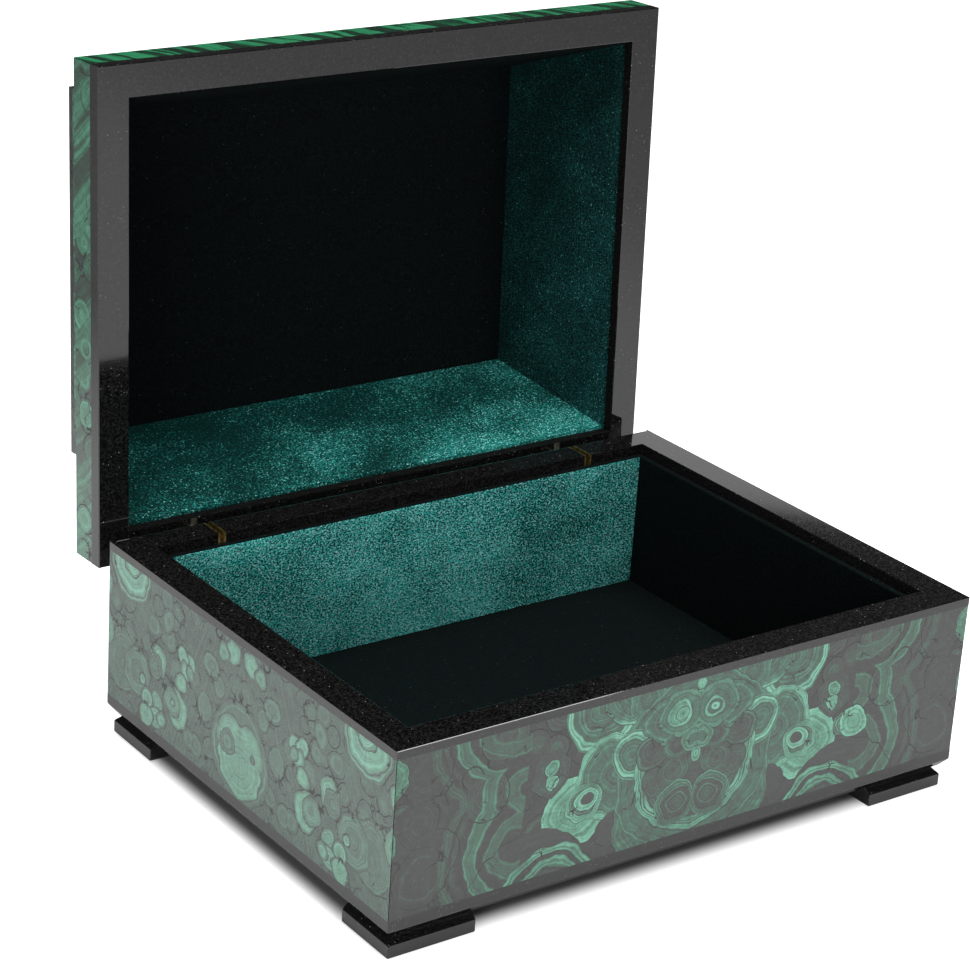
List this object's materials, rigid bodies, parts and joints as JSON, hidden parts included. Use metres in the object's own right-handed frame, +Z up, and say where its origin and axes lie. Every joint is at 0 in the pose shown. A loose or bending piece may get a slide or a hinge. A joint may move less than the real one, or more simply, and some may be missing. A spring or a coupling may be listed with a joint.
{
  "type": "jewellery casket",
  "caption": "Dark stone jewellery casket faced with banded malachite, with a sloping lid on concealed brass hinges and a teal velvet lining.",
  "frame": {"origin": "middle of the open casket's bounding box, on the floor under its feet", "axes": "+X to the casket's right, +Y to its rear where the hinges are, +Z up"},
  "size_m": [0.2, 0.2114, 0.2001],
  "materials": {
    "dark_stone": "polished",
    "malachite": "polished",
    "velvet": "napped",
    "brass": "brushed"
  },
  "bodies": {
    "base": {"bottom_plate": "dark_stone", "body_wall_front": "dark_stone", "body_wall_right": "dark_stone", "body_wall_back": "dark_stone", "body_wall_left": "dark_stone", "body_veneer_front": "malachite", "body_veneer_right": "malachite", "body_veneer_back": "malachite", "body_veneer_left": "malachite", "body_lining_floor": "velvet", "body_lining_front": "velvet", "body_lining_right": "velvet", "body_lining_back": "velvet", "body_lining_left": "velvet", "foot_front_left": "dark_stone", "foot_front_right": "dark_stone", "foot_rear_left": "dark_stone", "foot_rear_right": "dark_stone", "hinge_fork_left": "brass", "hinge_fork_right": "brass", "hinge_pin_left": "brass", "hinge_pin_right": "brass"},
    "lid": {"lid_wall_front": "dark_stone", "lid_wall_right": "dark_stone", "lid_wall_back": "dark_stone", "lid_wall_left": "dark_stone", "lid_veneer_front": "malachite", "lid_veneer_right": "malachite", "lid_veneer_back": "malachite", "lid_veneer_left": "malachite", "lid_slope_front": "malachite", "lid_slope_right": "malachite", "lid_slope_back": "malachite", "lid_slope_left": "malachite", "tier_veneer_front": "malachite", "tier_veneer_right": "malachite", "tier_veneer_back": "malachite", "tier_veneer_left": "malachite", "lid_lining_front": "velvet", "lid_lining_right": "velvet", "lid_lining_back": "velvet", "lid_lining_left": "velvet", "lid_lining_top": "velvet", "lid_top_slab": "dark_stone", "lid_top_veneer": "malachite", "hinge_tongue_left": "brass", "hinge_tongue_right": "brass"}
  },
  "joints": [
    {"name": "lid_hinge", "type": "hinge", "parent": "base", "child": "lid", "pos_m": [0, 0.04185, 0.053], "axis": [1, 0, 0], "range_deg": [0, 92]}
  ]
}
